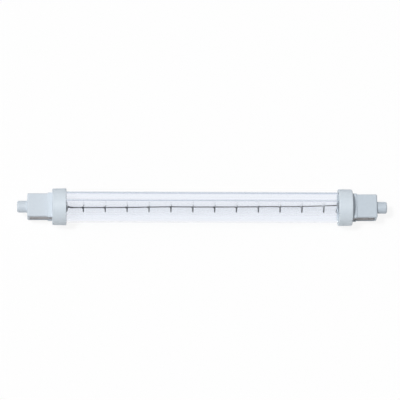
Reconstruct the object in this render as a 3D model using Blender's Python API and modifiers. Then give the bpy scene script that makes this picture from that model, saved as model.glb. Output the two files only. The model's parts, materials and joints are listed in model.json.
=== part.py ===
"""Jacketed quartz infrared lamp with a recessed contact in each ceramic end cap.

World axes: X runs along the lamp, Y across it and Z up, and the origin is the middle of the lamp.
Each end is modelled in a frame of its own. Its Z runs outwards along the lamp, its X is the
thickness of the flat block and its Y the block's width. An empty turns that frame to its end.
Every "reach" below is a distance from the middle of the lamp, measured outwards.
"""

import math

import bmesh
import bpy

# Overall length and the lengths of the end cap, from the tip of the nose inwards
OVERALL_LENGTH = 0.2200
NOSE_LENGTH = 0.0060
BLOCK_LENGTH = 0.0120
SHOULDER_LENGTH = 0.0028
COLLAR_LENGTH = 0.0084

# End cap sections
NOSE_DIAMETER = 0.0070
NOSE_TIP_RADIUS = 0.0009
NOSE_ROOT_FILLET = 0.0005
BLOCK_SIDE_WALL = 0.0014
BLOCK_THICKNESS = 0.0100
BLOCK_EDGE_RADIUS = 0.0008
SHOULDER_RISE = 0.0004
SHOULDER_EDGE_RADIUS = 0.0005
COLLAR_WALL = 0.0012
COLLAR_TAPER = math.radians(1.2)
COLLAR_EDGE_RADIUS = 0.0006
BLEND_DEPTH = 0.0012

# Hollows of the end cap
SEAT_DEPTH = 0.0062
POCKET_FLOOR_WALL = 0.0030
LAMP_OPENING_CLEARANCE = 0.0005

# Window in each narrow face of the block, which shows the cement that fills it
WINDOW_END_WALL = 0.0015
WINDOW_SIDE_WALL = 0.0009
WINDOW_STEP = 0.0005
CEMENT_RECESS = 0.00035

# Quartz jacket and the cement that holds it in the collars
JACKET_DIAMETER = 0.0184
JACKET_WALL = 0.0012
JACKET_CEMENT_LAYER = 0.0004
JACKET_CEMENT_LENGTH = 0.0052

# Quartz lamp tube, pressed flat at its ends
LAMP_TUBE_DIAMETER = 0.0095
LAMP_TUBE_WALL = 0.0012
BORE_DOME_LENGTH = 0.0022
BORE_DOME_SETBACK = 0.0009
PRESS_LENGTH = 0.0125
PRESS_WIDTH = 0.0100
PRESS_THICKNESS = 0.0024
PRESS_SHOULDER_LENGTH = 0.0045
PRESS_CORNER_POWER = 6.0
SEAL_CEMENT_LAYER = 0.0005
SEAL_CEMENT_FLOOR = 0.0010

# Foils, leads and contacts
FOIL_LENGTH = 0.0085
FOIL_WIDTH = 0.0040
FOIL_THICKNESS = 0.0001
FOIL_SETBACK = 0.0020
FOIL_WELD_OVERLAP = 0.0015
INNER_LEAD_DIAMETER = 0.0004
OUTER_LEAD_DIAMETER = 0.0007
CONTACT_HEAD_DIAMETER = 0.0030
CONTACT_HEAD_THICKNESS = 0.0010
CONTACT_EDGE_RADIUS = 0.0003
CONTACT_STEM_DIAMETER = 0.0016
CONTACT_SETBACK = 0.0014

# Filament coil, and how far it has drifted off the axis at even steps from left to right
COIL_SETBACK = 0.0008
COIL_DIAMETER = 0.0010
COIL_WIRE = 0.0002
COIL_PITCH = 0.0015
TIGHT_LENGTH = 0.0026
TIGHT_PITCH = 0.0004
FILAMENT_DRIFTS = (-0.00045, -0.00042, -0.00022, 0.00020, 0.00014, 0.00026, 0.00048, 0.00064, 0.0013)

# Wire supports
SUPPORT_COUNT = 12
SUPPORT_END_ROOM = 0.0085
SUPPORT_SHIFT = 0.0008
SUPPORT_WIRE = 0.0003
SUPPORT_TURNS = 1.05
END_SUPPORT_TURNS = 2.0
SUPPORT_TAIL_TURNS = 1.5
SUPPORT_TAIL_REACH = 0.0005
RUN_OUT_TURN = 0.35
RUN_OUT_REACH = 0.0004
RING_ADVANCE = 0.00045

# Clearances
CEMENT_GAP = 0.0001
BORE_GAP = 0.0003
WELD_GAP = 0.00003
SEAL_GAP = 0.00005
COIL_GAP = 0.00006
CONTACT_GAP = 0.0003
RING_GAP = 0.00035

# Facets of round shapes
ROUND_SEGMENTS = 36
SMALL_SEGMENTS = 20
HOLE_SEGMENTS = 12
ARC_STEPS = 3
LOFT_POINTS = 24
SHOULDER_STATIONS = 6
COIL_POINTS = 5
RING_POINTS = 16
TAIL_POINTS = 8
RUN_OUT_POINTS = 4
FINE_WIRE_SIDES = 4
LEAD_SIDES = 6
SHOULDER_EDGE_STEPS = 2
BLOCK_EDGE_STEPS = 3
SHARP_ANGLE = math.radians(35.0)
BEVEL_ANGLE = math.radians(40.0)

# Reaches worked out from the sizes above
nose_tip = OVERALL_LENGTH / 2
nose_root = nose_tip - NOSE_LENGTH
block_root = nose_root - BLOCK_LENGTH
collar_back = block_root - SHOULDER_LENGTH
collar_mouth = collar_back - COLLAR_LENGTH
seat_floor = collar_mouth + SEAT_DEPTH
jacket_end = seat_floor - CEMENT_GAP
pocket_floor = nose_root - POCKET_FLOOR_WALL
press_end = pocket_floor - SEAL_CEMENT_FLOOR - 2 * CEMENT_GAP
press_start = press_end - PRESS_LENGTH
round_end = press_start - PRESS_SHOULDER_LENGTH
opening_end = press_start + BORE_GAP
foil_outer = press_end - FOIL_SETBACK
foil_inner = foil_outer - FOIL_LENGTH
contact_face = nose_tip - CONTACT_SETBACK
contact_seat = contact_face - CONTACT_HEAD_THICKNESS
coil_end = collar_mouth - COIL_SETBACK
bore_straight_end = round_end - BORE_DOME_SETBACK
support_pitch = 2 * (coil_end - SUPPORT_END_ROOM) / (SUPPORT_COUNT - 1)
foil_face = OUTER_LEAD_DIAMETER / 2 + WELD_GAP
inner_lead_axis = foil_face - WELD_GAP - INNER_LEAD_DIAMETER / 2
lamp_bore_radius = LAMP_TUBE_DIAMETER / 2 - LAMP_TUBE_WALL
collar_bore_radius = JACKET_DIAMETER / 2 + JACKET_CEMENT_LAYER + 2 * CEMENT_GAP
collar_mouth_radius = collar_bore_radius + COLLAR_WALL
collar_back_radius = collar_mouth_radius - COLLAR_LENGTH * math.tan(COLLAR_TAPER)
pocket_width = PRESS_WIDTH + 2 * SEAL_CEMENT_LAYER + 4 * CEMENT_GAP
pocket_thickness = PRESS_THICKNESS + 2 * SEAL_CEMENT_LAYER + 4 * CEMENT_GAP
block_width = pocket_width + 2 * BLOCK_SIDE_WALL
window_end = nose_root - WINDOW_END_WALL
window_height = BLOCK_THICKNESS - 2 * WINDOW_SIDE_WALL
window_floor = pocket_width / 2 - WINDOW_STEP
ring_radius = lamp_bore_radius - RING_GAP - SUPPORT_WIRE / 2


def clear_scene():
    for obj in list(bpy.data.objects):
        bpy.data.objects.remove(obj, do_unlink=True)


def new_collection(name):
    collection = bpy.data.collections.new(name)
    bpy.context.scene.collection.children.link(collection)
    return collection


def new_material(name, color, roughness, metallic=0.0, transmission=0.0, ior=1.5):
    material = bpy.data.materials.new(name)
    material.use_nodes = True
    shader = material.node_tree.nodes["Principled BSDF"]
    shader.inputs["Base Color"].default_value = (*color, 1.0)
    shader.inputs["Roughness"].default_value = roughness
    shader.inputs["Metallic"].default_value = metallic
    shader.inputs["Transmission Weight"].default_value = transmission
    shader.inputs["IOR"].default_value = ior
    return material


def place(name, data, frame=None, material=None):
    """A lamp piece when it has a material, and otherwise a cutter or a block for a join."""
    obj = bpy.data.objects.new(name, data)
    if material:
        data.materials.append(material)
        lamp_pieces.objects.link(obj)
    else:
        cutters.objects.link(obj)
        obj.hide_render = True
        obj.display_type = "WIRE"
    obj.parent = frame
    return obj


def mesh_from(bm, name):
    mesh = bpy.data.meshes.new(name)
    bm.to_mesh(mesh)
    bm.free()
    return mesh


def arc(centre_r, centre_z, radius, start, end):
    """Points (r, z) of a profile's rounded corner, with its angles in degrees."""
    points = []
    for step in range(ARC_STEPS + 1):
        angle = math.radians(start + (end - start) * step / ARC_STEPS)
        points.append((centre_r + radius * math.cos(angle), centre_z + radius * math.sin(angle)))
    return points


def turned(name, profile, segments, frame, material=None, closed=False):
    """A solid of revolution about Z. Its flats, not its corners, lie at the profile's radii."""
    half_step = math.pi / segments
    bm = bmesh.new()
    verts = []
    for radius, height in profile:
        corner = radius / math.cos(half_step)
        x, y = corner * math.cos(half_step), corner * math.sin(half_step)
        verts.append(bm.verts.new((x, y, height)))
    for first, second in zip(verts, verts[1:]):
        bm.edges.new((first, second))
    if closed:
        bm.edges.new((verts[-1], verts[0]))
    obj = place(name, mesh_from(bm, name), frame, material)
    screw = obj.modifiers.new("Turn", "SCREW")
    screw.axis = "Z"
    screw.angle = math.tau
    screw.steps = segments
    screw.render_steps = segments
    screw.use_merge_vertices = True
    screw.merge_threshold = 1e-6
    screw.use_smooth_shade = False
    return obj


def cylinder_profile(radius, low, high):
    return [(0.0, high), (radius, high), (radius, low), (0.0, low)]


def ring_profile(outer, inner, low, high):
    return [(outer, high), (outer, low), (inner, low), (inner, high)]


def block(name, thickness, width, low, high, frame, material=None, x=0.0, y=0.0):
    """A box centred on x and y in the end frame, from low to high along its Z."""
    bm = bmesh.new()
    bmesh.ops.create_cube(bm, size=1.0)
    bmesh.ops.scale(bm, vec=(thickness, width, high - low), verts=bm.verts)
    bmesh.ops.translate(bm, vec=(x, y, (low + high) / 2), verts=bm.verts)
    return place(name, mesh_from(bm, name), frame, material)


def side_blocks(name, height, inner, outer, low, high, frame):
    """Two like boxes, one behind each narrow face of the end block, from inner to outer across it."""
    boxes = []
    for word, across in (("front", -1), ("back", 1)):
        boxes.append(block(name + "_" + word, height, outer - inner, low, high, frame,
                           y=across * (inner + outer) / 2))
    return boxes


def round_edges(obj, radius, segments):
    bevel = obj.modifiers.new("Rounded edges", "BEVEL")
    bevel.width = radius
    bevel.segments = segments
    bevel.limit_method = "ANGLE"
    bevel.angle_limit = BEVEL_ANGLE


def combine(obj, other, operation):
    boolean = obj.modifiers.new(operation.title() + " " + other.name, "BOOLEAN")
    boolean.operation = operation
    boolean.solver = "EXACT"
    boolean.object = other


def wire(name, points, diameter, material, frame=None, sides=FINE_WIRE_SIDES):
    """A round wire through the points. A bevel resolution of 0 gives it 4 sides, and 1 gives 6."""
    curve = bpy.data.curves.new(name, "CURVE")
    curve.dimensions = "3D"
    curve.bevel_depth = diameter / 2
    curve.bevel_resolution = (sides - 4) // 2
    curve.use_fill_caps = True
    spline = curve.splines.new("POLY")
    spline.points.add(len(points) - 1)
    for target, point in zip(spline.points, points):
        target.co = (*point, 1.0)
    return place(name, curve, frame, material)


def filament_drift(x):
    """How far the filament lies off the lamp's axis at x: a smooth curve through the named drifts."""
    spans = len(FILAMENT_DRIFTS) - 1
    along = min(max((x + coil_end) / (2 * coil_end), 0.0), 1.0) * spans
    span = min(int(along), spans - 1)
    share = along - span
    before, start, end, after = [FILAMENT_DRIFTS[min(max(span + step, 0), spans)] for step in (-1, 0, 1, 2)]
    start_slope, end_slope = (end - before) / 2, (after - start) / 2
    rise = end - start
    return (start + start_slope * share + (3 * rise - 2 * start_slope - end_slope) * share ** 2
            + (start_slope + end_slope - 2 * rise) * share ** 3)


def coil_points():
    """The filament's helix: a tight winding over each lead, and an open one between them."""
    radius = (COIL_DIAMETER - COIL_WIRE) / 2
    points = []
    x = -coil_end
    angle = 0.0
    while x <= coil_end:
        points.append((x, filament_drift(x) + radius * math.cos(angle), radius * math.sin(angle)))
        pitch = TIGHT_PITCH if abs(x) > coil_end - TIGHT_LENGTH else COIL_PITCH
        x += pitch / COIL_POINTS
        angle += math.tau / COIL_POINTS
    return points


def support_points(ring_x, turns, tail_side):
    """One wire: a tail wound on the filament, a run out to the tube's bore, then the ring itself."""
    tail_radius = (COIL_DIAMETER / 2 + COIL_GAP + SUPPORT_WIRE / 2) / math.cos(math.pi / TAIL_POINTS)
    stations = []
    steps = round(SUPPORT_TAIL_TURNS * TAIL_POINTS)
    for step in range(steps):
        share = step / steps
        x = ring_x + tail_side * (RUN_OUT_REACH + SUPPORT_TAIL_REACH * (1 - share))
        stations.append((x, filament_drift(x), tail_radius, SUPPORT_TAIL_TURNS * share))
    for step in range(RUN_OUT_POINTS):
        share = step / RUN_OUT_POINTS
        x = ring_x + tail_side * RUN_OUT_REACH * (1 - share)
        radius = tail_radius + (ring_radius - tail_radius) * share
        turn = SUPPORT_TAIL_TURNS + RUN_OUT_TURN * share
        stations.append((x, filament_drift(x) * (1 - share), radius, turn))
    steps = round(turns * RING_POINTS)
    for step in range(steps + 1):
        share = step / steps
        x = ring_x - tail_side * RING_ADVANCE * turns * share
        stations.append((x, 0.0, ring_radius, SUPPORT_TAIL_TURNS + RUN_OUT_TURN + turns * share))
    points = []
    for x, centre_y, radius, turn in stations:
        angle = math.tau * turn
        points.append((x, centre_y + radius * math.cos(angle), radius * math.sin(angle)))
    return points


def press_share(reach):
    """How far the lamp tube is pressed flat at a reach: 0 where it is round, 1 in the seal."""
    share = min(max((reach - round_end) / PRESS_SHOULDER_LENGTH, 0.0), 1.0)
    return share * share * (3 - 2 * share)


def lamp_section(reach):
    """The lamp tube's outline at a reach, as (x, y) points of a superellipse."""
    share = press_share(abs(reach))
    radius = LAMP_TUBE_DIAMETER / 2
    half_thickness = radius + (PRESS_THICKNESS / 2 - radius) * share
    half_width = radius + (PRESS_WIDTH / 2 - radius) * share
    power = 2.0 + (PRESS_CORNER_POWER - 2.0) * share
    points = []
    for step in range(LOFT_POINTS):
        angle = math.tau * (step + 0.5) / LOFT_POINTS
        cosine, sine = math.cos(angle), math.sin(angle)
        x = math.copysign(abs(cosine) ** (2 / power), cosine) * half_thickness
        y = math.copysign(abs(sine) ** (2 / power), sine) * half_width
        points.append((x, y))
    return points


def lamp_blank(frame, material):
    """The lamp tube before it is bored: a loft from one flat press through the round tube to the other."""
    reaches = [press_end]
    for step in range(SHOULDER_STATIONS + 1):
        reaches.append(press_start - PRESS_SHOULDER_LENGTH * step / SHOULDER_STATIONS)
    stations = [-reach for reach in reaches] + reaches[::-1]
    bm = bmesh.new()
    rings = [[bm.verts.new((x, y, z)) for x, y in lamp_section(z)] for z in stations]
    for lower, upper in zip(rings, rings[1:]):
        for index in range(LOFT_POINTS):
            following = (index + 1) % LOFT_POINTS
            bm.faces.new((lower[index], lower[following], upper[following], upper[index]))
    bm.faces.new(rings[0][::-1])
    bm.faces.new(rings[-1])
    return place("lamp_tube", mesh_from(bm, "lamp_tube"), frame, material)


def make_end_cap(side, frame):
    """One steatite moulding: collar, shoulder, flat block and nose, hollowed for what it holds."""
    edge = COLLAR_EDGE_RADIUS
    profile = [(0.0, collar_back)]
    profile += arc(collar_back_radius - edge, collar_back - edge, edge, 90, 0)
    profile += arc(collar_mouth_radius - edge, collar_mouth + edge, edge, 0, -90)
    profile += [(0.0, collar_mouth)]
    cap = turned("end_cap_" + side, profile, ROUND_SEGMENTS, frame, steatite)

    shoulder = block("shoulder_" + side, BLOCK_THICKNESS + 2 * SHOULDER_RISE,
                     block_width + 2 * SHOULDER_RISE, collar_back - BLEND_DEPTH, block_root, frame)
    round_edges(shoulder, SHOULDER_EDGE_RADIUS, SHOULDER_EDGE_STEPS)
    body = block("block_" + side, BLOCK_THICKNESS, block_width, block_root - BLEND_DEPTH, nose_root, frame)
    round_edges(body, BLOCK_EDGE_RADIUS, BLOCK_EDGE_STEPS)

    radius, edge, fillet = NOSE_DIAMETER / 2, NOSE_TIP_RADIUS, NOSE_ROOT_FILLET
    profile = [(0.0, nose_tip)]
    profile += arc(radius - edge, nose_tip - edge, edge, 90, 0)
    profile += arc(radius + fillet, nose_root + fillet, fillet, 180, 270)
    profile += [(radius + fillet, nose_root - BLEND_DEPTH), (0.0, nose_root - BLEND_DEPTH)]
    nose = turned("nose_" + side, profile, SMALL_SEGMENTS, frame)

    opening_radius = LAMP_TUBE_DIAMETER / 2 + LAMP_OPENING_CLEARANCE
    profile = [(0.0, opening_end), (opening_radius, opening_end), (opening_radius, seat_floor),
               (collar_bore_radius, seat_floor), (collar_bore_radius, collar_mouth - BLEND_DEPTH),
               (0.0, collar_mouth - BLEND_DEPTH)]
    seat = turned("seat_cutter_" + side, profile, ROUND_SEGMENTS, frame)
    pocket = block("pocket_cutter_" + side, pocket_thickness, pocket_width,
                   seat_floor, pocket_floor, frame)
    windows = side_blocks("window_cutter_" + side, window_height, window_floor,
                          block_width / 2 + SHOULDER_RISE + BLEND_DEPTH, collar_back, window_end, frame)

    recess_radius = CONTACT_HEAD_DIAMETER / 2 + CONTACT_GAP
    stem_radius = CONTACT_STEM_DIAMETER / 2 + CONTACT_GAP
    recess_floor = contact_seat - CEMENT_GAP
    profile = [(0.0, nose_tip + BLEND_DEPTH), (recess_radius, nose_tip + BLEND_DEPTH),
               (recess_radius, recess_floor), (stem_radius, recess_floor),
               (stem_radius, pocket_floor - BLEND_DEPTH), (0.0, pocket_floor - BLEND_DEPTH)]
    recess = turned("recess_cutter_" + side, profile, SMALL_SEGMENTS, frame)

    for piece in (shoulder, body, nose):
        combine(cap, piece, "UNION")
    for cutter in (seat, pocket, *windows, recess):
        combine(cap, cutter, "DIFFERENCE")


def make_cements(side, frame):
    """The jacket's cement ring in the collar, and the cement that fills the block round the press seal."""
    inner = JACKET_DIAMETER / 2 + CEMENT_GAP
    ring = ring_profile(inner + JACKET_CEMENT_LAYER, inner, seat_floor - JACKET_CEMENT_LENGTH, jacket_end)
    turned("jacket_cement_" + side, ring, ROUND_SEGMENTS, frame, cement, closed=True)

    filler_start = opening_end + CEMENT_GAP
    filler = block("seal_cement_" + side, pocket_thickness - 2 * CEMENT_GAP, pocket_width - 2 * CEMENT_GAP,
                   filler_start, pocket_floor - CEMENT_GAP, frame, cement)
    plugs = side_blocks("window_cement_" + side, window_height - 2 * CEMENT_GAP, window_floor + CEMENT_GAP,
                        block_width / 2 - CEMENT_RECESS, collar_back + CEMENT_GAP, window_end - CEMENT_GAP,
                        frame)
    press_room = block("press_cutter_" + side, PRESS_THICKNESS + 2 * CEMENT_GAP, PRESS_WIDTH + 2 * CEMENT_GAP,
                       filler_start - BLEND_DEPTH, press_end + CEMENT_GAP, frame)
    profile = cylinder_profile(OUTER_LEAD_DIAMETER / 2 + CEMENT_GAP, press_end, pocket_floor + BLEND_DEPTH)
    lead_room = turned("lead_cutter_" + side, profile, HOLE_SEGMENTS, frame)
    for plug in plugs:
        combine(filler, plug, "UNION")
    combine(filler, press_room, "DIFFERENCE")
    combine(filler, lead_room, "DIFFERENCE")


def make_seal_parts(side, sign, frame):
    """The foil, its two welded leads and the contact, in line from the filament to the nose."""
    block("seal_foil_" + side, FOIL_THICKNESS, FOIL_WIDTH, foil_inner, foil_outer, frame,
          molybdenum, x=foil_face + FOIL_THICKNESS / 2)

    tip_reach = coil_end - TIGHT_LENGTH
    entry = filament_drift(sign * coil_end)
    lead = [(inner_lead_axis, 0.0, foil_inner + FOIL_WELD_OVERLAP),
            (inner_lead_axis, 0.0, bore_straight_end),
            (0.0, entry, coil_end),
            (0.0, filament_drift(sign * tip_reach), tip_reach)]
    wire("inner_lead_" + side, lead, INNER_LEAD_DIAMETER, molybdenum, frame, LEAD_SIDES)
    lead = [(0.0, 0.0, foil_outer - FOIL_WELD_OVERLAP), (0.0, 0.0, pocket_floor - WELD_GAP)]
    wire("outer_lead_" + side, lead, OUTER_LEAD_DIAMETER, molybdenum, frame, LEAD_SIDES)

    head, edge, stem = CONTACT_HEAD_DIAMETER / 2, CONTACT_EDGE_RADIUS, CONTACT_STEM_DIAMETER / 2
    profile = [(0.0, contact_face)]
    profile += arc(head - edge, contact_face - edge, edge, 90, 0)
    profile += [(head, contact_seat), (stem, contact_seat), (stem, pocket_floor), (0.0, pocket_floor)]
    turned("contact_" + side, profile, SMALL_SEGMENTS, frame, nickel)


def bore_lamp_tube(tube, frames):
    """Bores the tube, and cuts each press for its foil and leads, which opens the bore to the outside."""
    half = [(0.0, bore_straight_end + BORE_DOME_LENGTH)]
    for step in range(1, ARC_STEPS + 1):
        angle = math.radians(90 * (1 - step / ARC_STEPS))
        reach = bore_straight_end + BORE_DOME_LENGTH * math.sin(angle)
        half.append((lamp_bore_radius * math.cos(angle), reach))
    profile = half + [(r, -z) for r, z in reversed(half)]
    combine(tube, turned("bore_cutter", profile, SMALL_SEGMENTS, frames["right"]), "DIFFERENCE")
    for side, frame in frames.items():
        slot = block("foil_cutter_" + side, FOIL_THICKNESS + 2 * SEAL_GAP, FOIL_WIDTH + 2 * SEAL_GAP,
                     foil_inner - SEAL_GAP, foil_outer + SEAL_GAP, frame, x=foil_face + FOIL_THICKNESS / 2)
        inner = turned("inner_lead_cutter_" + side,
                       cylinder_profile(INNER_LEAD_DIAMETER / 2 + SEAL_GAP, bore_straight_end,
                                        foil_inner + FOIL_WELD_OVERLAP + SEAL_GAP), HOLE_SEGMENTS, frame)
        inner.location.x = inner_lead_axis
        outer = turned("outer_lead_cutter_" + side,
                       cylinder_profile(OUTER_LEAD_DIAMETER / 2 + SEAL_GAP,
                                        foil_outer - FOIL_WELD_OVERLAP - SEAL_GAP, press_end + BLEND_DEPTH),
                       HOLE_SEGMENTS, frame)
        for cutter in (slot, inner, outer):
            combine(tube, cutter, "DIFFERENCE")


def shade_by_angle(obj):
    """Keeps the modelled shape as a plain mesh, smooth on round faces and sharp at the edges."""
    graph = bpy.context.evaluated_depsgraph_get()
    mesh = bpy.data.meshes.new_from_object(obj.evaluated_get(graph))
    obj.modifiers.clear()
    obj.data = mesh
    mesh.shade_smooth()
    mesh.set_sharp_from_angle(angle=SHARP_ANGLE)


clear_scene()
lamp_pieces = new_collection("jacketed_quartz_lamp")
cutters = new_collection("cutters")

quartz = new_material("fused_quartz", (0.93, 0.95, 0.98), 0.02, transmission=1.0, ior=1.458)
steatite = new_material("pressed_steatite", (0.76, 0.80, 0.84), 0.55)
cement = new_material("lamp_cement", (0.72, 0.70, 0.66), 0.9)
tungsten = new_material("drawn_tungsten", (0.20, 0.20, 0.22), 0.4, metallic=1.0)
molybdenum = new_material("molybdenum", (0.45, 0.46, 0.48), 0.35, metallic=1.0)
nickel = new_material("nickel_plate", (0.66, 0.64, 0.60), 0.25, metallic=1.0)

frames = {}
for side, sign in (("left", -1), ("right", 1)):
    frame = bpy.data.objects.new(side + "_end", None)
    frame.rotation_euler.y = sign * math.pi / 2
    lamp_pieces.objects.link(frame)
    frames[side] = frame
    make_end_cap(side, frame)
    make_cements(side, frame)
    make_seal_parts(side, sign, frame)

jacket = ring_profile(JACKET_DIAMETER / 2, JACKET_DIAMETER / 2 - JACKET_WALL, -jacket_end, jacket_end)
turned("jacket_tube", jacket, ROUND_SEGMENTS, frames["right"], quartz, closed=True)
bore_lamp_tube(lamp_blank(frames["right"], quartz), frames)

wire("filament", coil_points(), COIL_WIRE, tungsten)
for number in range(SUPPORT_COUNT):
    ring_x = SUPPORT_SHIFT + support_pitch * (number - (SUPPORT_COUNT - 1) / 2)
    name = "filament_support_%02d" % (number + 1)
    wire(name, support_points(ring_x, SUPPORT_TURNS, -1), SUPPORT_WIRE, tungsten)
for side, sign in (("left", -1), ("right", 1)):
    ring_x = sign * (coil_end + RUN_OUT_REACH)
    wire("end_support_" + side, support_points(ring_x, END_SUPPORT_TURNS, -sign), SUPPORT_WIRE, tungsten)

for piece in list(lamp_pieces.objects):
    if piece.type == "MESH":
        shade_by_angle(piece)
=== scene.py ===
# %% [markdown]
# A jacketed quartz infrared lamp. The real lamp is a sealed quartz lamp tube with a tungsten
# coil on wire rings, inside a wider clear quartz jacket, between two pressed steatite caps.
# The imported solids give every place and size. This lesson gives them their fine shapes and
# finishes, one piece at a time.

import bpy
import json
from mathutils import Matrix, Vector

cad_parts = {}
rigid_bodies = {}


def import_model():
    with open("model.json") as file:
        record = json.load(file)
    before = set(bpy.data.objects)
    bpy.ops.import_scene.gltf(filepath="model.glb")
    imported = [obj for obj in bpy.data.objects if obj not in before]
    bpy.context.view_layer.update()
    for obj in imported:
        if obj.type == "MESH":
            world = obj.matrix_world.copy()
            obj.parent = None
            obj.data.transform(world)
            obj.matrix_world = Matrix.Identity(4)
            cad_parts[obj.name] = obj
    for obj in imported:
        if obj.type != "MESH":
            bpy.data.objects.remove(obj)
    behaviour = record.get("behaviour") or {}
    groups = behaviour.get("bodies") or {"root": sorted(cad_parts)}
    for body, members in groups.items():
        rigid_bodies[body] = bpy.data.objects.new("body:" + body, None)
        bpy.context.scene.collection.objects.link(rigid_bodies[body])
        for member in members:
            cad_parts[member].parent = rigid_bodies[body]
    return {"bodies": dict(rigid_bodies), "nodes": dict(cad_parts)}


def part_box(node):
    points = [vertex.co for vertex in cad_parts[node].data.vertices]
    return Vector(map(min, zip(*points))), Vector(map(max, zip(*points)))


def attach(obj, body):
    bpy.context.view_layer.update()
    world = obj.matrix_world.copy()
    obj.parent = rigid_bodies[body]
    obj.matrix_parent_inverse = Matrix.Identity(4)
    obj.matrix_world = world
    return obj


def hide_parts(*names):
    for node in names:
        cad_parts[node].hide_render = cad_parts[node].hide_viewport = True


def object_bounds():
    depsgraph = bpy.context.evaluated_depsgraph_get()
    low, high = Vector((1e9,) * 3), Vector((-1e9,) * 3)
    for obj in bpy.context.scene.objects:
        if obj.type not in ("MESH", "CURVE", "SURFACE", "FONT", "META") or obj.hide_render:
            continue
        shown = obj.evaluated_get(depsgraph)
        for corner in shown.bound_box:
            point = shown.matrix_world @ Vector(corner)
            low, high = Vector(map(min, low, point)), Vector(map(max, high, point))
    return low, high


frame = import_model()
cad_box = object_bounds()
print("lamp from", tuple(cad_box[0]), "to", tuple(cad_box[1]))

# %% [markdown]
# The frame is in metres, and lamps are drawn in millimetres, so MM turns one into the other.

# %% Tools used throughout
import json
import math

import bmesh
import bpy
from mathutils import Matrix, Vector, noise

MM = 0.001
scene = bpy.context.scene
body = next(iter(frame["bodies"]))
print("every piece rides on", body)

# %% [markdown]
# The camera comes first, because every finish is judged through it. The photograph looks down
# on the lamp from far away with a long lens, from the front and a little left of the middle,
# so the left collar is seen square on and the right one slightly from its left.

# %% Camera
camera_place = Vector((-0.087, -0.45965, 1.84356))
camera_aim = Vector((-0.00139, 0.00443, 0.0))
camera_lens = 287.8
camera_roll = math.radians(10.32)

camera_data = bpy.data.cameras.new("camera")
camera_data.lens = camera_lens
camera_data.sensor_width = 36.0
camera_data.clip_end = 30.0
camera = bpy.data.objects.new("camera", camera_data)
scene.collection.objects.link(camera)
gaze = (camera_aim - camera_place).to_track_quat("-Z", "Y").to_matrix().to_4x4()
camera.matrix_world = Matrix.Translation(camera_place) @ gaze @ Matrix.Rotation(camera_roll, 4, "Z")
scene.camera = camera
print("camera", round((camera_aim - camera_place).length, 3), "m away")

# %% [markdown]
# Colours are written as sRGB hex values, the way a colour picker shows them, and the shaders
# work in linear light, so one function turns the first into the second. Another adds a node,
# sets it up and links its sockets, which keeps each material as short as a recipe. A mask of
# some kinds of ray lets the set look one way and light the lamp another way.

# %% Colour and node helpers


def linear(code):
    """The linear colour of an sRGB hex value."""
    shares = [int(code[place:place + 2], 16) / 255 for place in (1, 3, 5)]
    return tuple(s / 12.92 if s <= 0.04045 else ((s + 0.055) / 1.055) ** 2.4 for s in shares) + (1.0,)


def add_node(tree, kind, sockets=None, **settings):
    """Adds a node. A socket's value is either a number or colour, or the output that feeds it."""
    node = tree.nodes.new(kind)
    for name, value in settings.items():
        setattr(node, name, value)
    for name, value in (sockets or {}).items():
        if isinstance(value, bpy.types.NodeSocket):
            tree.links.new(value, node.inputs[name])
        else:
            node.inputs[name].default_value = value
    return node


def new_material(name):
    """An empty material: its tree and the output that its surface links to."""
    material = bpy.data.materials.new(name)
    material.use_nodes = True
    material.node_tree.nodes.clear()
    output = add_node(material.node_tree, "ShaderNodeOutputMaterial")
    return material, material.node_tree, output


def mask_of_rays(tree, first, *others):
    """1 on the kinds of ray that are named, and 0 on the rest."""
    path = add_node(tree, "ShaderNodeLightPath")
    mask = path.outputs[first]
    for kind in others:
        mask = add_node(tree, "ShaderNodeMath", {0: mask, 1: path.outputs[kind]},
                        operation="MAXIMUM").outputs[0]
    return mask


print("white is", linear("#ffffff"))

# %% [markdown]
# The set is a white table top under a broad soft lamp, with a smaller lamp high on the left
# that gives the right cap the narrow shadow of its collar. The room is dim, and lighter on the
# left. What the camera, glass and metal see of the room is white, and a little greyer overhead
# on the camera's own side, which gives the round glass its soft change of tone.

# %% Studio lights and world
SEEING_RAYS = ("Is Camera Ray", "Is Glossy Ray", "Is Transmission Ray")
AMBIENT = 0.22
LEFT_BIAS = 0.7
BROAD_LAMP_WHITE = 0.26
BROAD_LAMP_SLANT = 1.15
KEY_LAMP_WHITE = 0.58

world = bpy.data.worlds.new("studio_room")
scene.world = world
world.use_nodes = True
tree = world.node_tree
tree.nodes.clear()
direction = add_node(tree, "ShaderNodeTexCoord").outputs["Generated"]
towards = add_node(tree, "ShaderNodeSeparateXYZ", {0: direction})
strength = add_node(tree, "ShaderNodeMapRange", {
    "Value": towards.outputs["X"], "From Min": -1.0, "From Max": 1.0,
    "To Min": AMBIENT * (1 + LEFT_BIAS), "To Max": AMBIENT * (1 - LEFT_BIAS)})
room = add_node(tree, "ShaderNodeBackground", {"Color": (1, 1, 1, 1), "Strength": strength.outputs[0]})
overhead = add_node(tree, "ShaderNodeMapRange", {"Value": towards.outputs["Z"], "From Min": 0.1,
                                                 "From Max": 0.5}, interpolation_type="SMOOTHSTEP")
camera_side = add_node(tree, "ShaderNodeMapRange", {"Value": towards.outputs["Y"], "From Min": -0.05,
                                                    "From Max": -0.27}, interpolation_type="SMOOTHSTEP")
greyer = add_node(tree, "ShaderNodeMath", {0: overhead.outputs[0], 1: camera_side.outputs[0]},
                  operation="MULTIPLY")
seen = add_node(tree, "ShaderNodeMix", {0: greyer.outputs[0], 6: (1, 1, 1, 1), 7: linear("#bfc6d0")},
                data_type="RGBA").outputs[2]
backdrop = add_node(tree, "ShaderNodeBackground", {"Color": seen, "Strength": 1.0})
mixed = add_node(tree, "ShaderNodeMixShader", {0: mask_of_rays(tree, *SEEING_RAYS),
                                               1: room.outputs[0], 2: backdrop.outputs[0]})
add_node(tree, "ShaderNodeOutputWorld", {"Surface": mixed.outputs[0]})

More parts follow.
